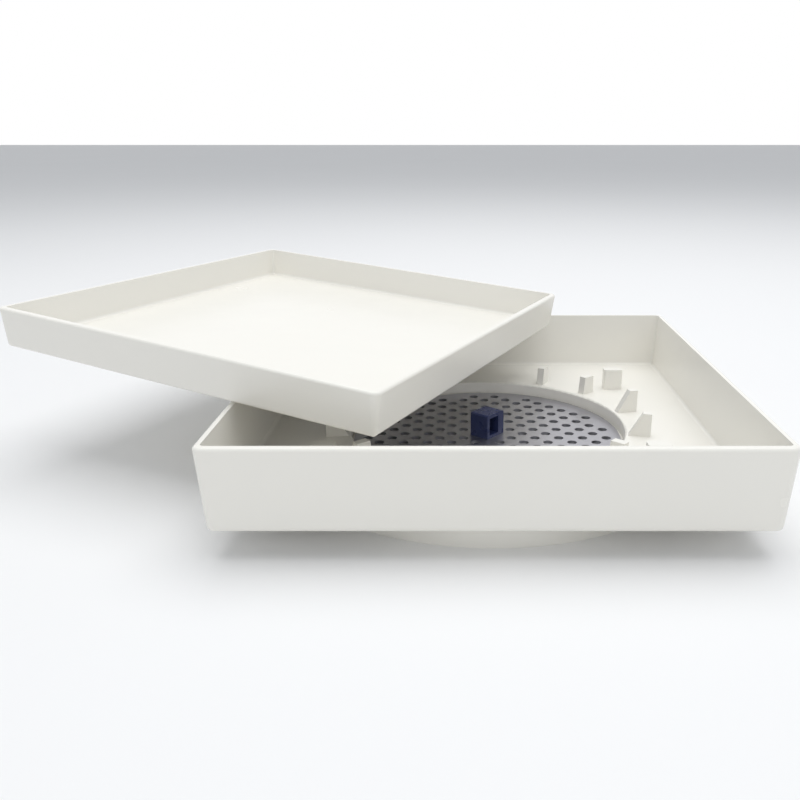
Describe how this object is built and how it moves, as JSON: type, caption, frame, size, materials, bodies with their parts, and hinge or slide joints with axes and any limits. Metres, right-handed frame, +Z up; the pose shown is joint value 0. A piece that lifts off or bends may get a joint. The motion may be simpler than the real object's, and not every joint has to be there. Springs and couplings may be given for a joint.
{
  "type": "floor drain",
  "caption": "Tile-in floor drain: square pan with round strainer seat and outlet collar, perforated strainer with pull handle, and a loose square tile tray lying across its rim.",
  "frame": {"origin": "on the outlet collar's axis, in the plane of the collar's lower edge", "axes": "+Z up, out of the open pan; +X to the right of the picture's view, along one side of the pan; +Y away from the viewer"},
  "size_m": [0.2306, 0.1956, 0.0529],
  "materials": {
    "white_plastic": "gloss moulded, off-white",
    "strainer_steel": "satin sheet",
    "handle_plastic": "gloss moulded, navy blue"
  },
  "bodies": {
    "root": {"drain_body": "white_plastic", "tile_tray": "white_plastic", "strainer_plate": "strainer_steel", "pull_handle": "handle_plastic"}
  },
  "joints": []
}
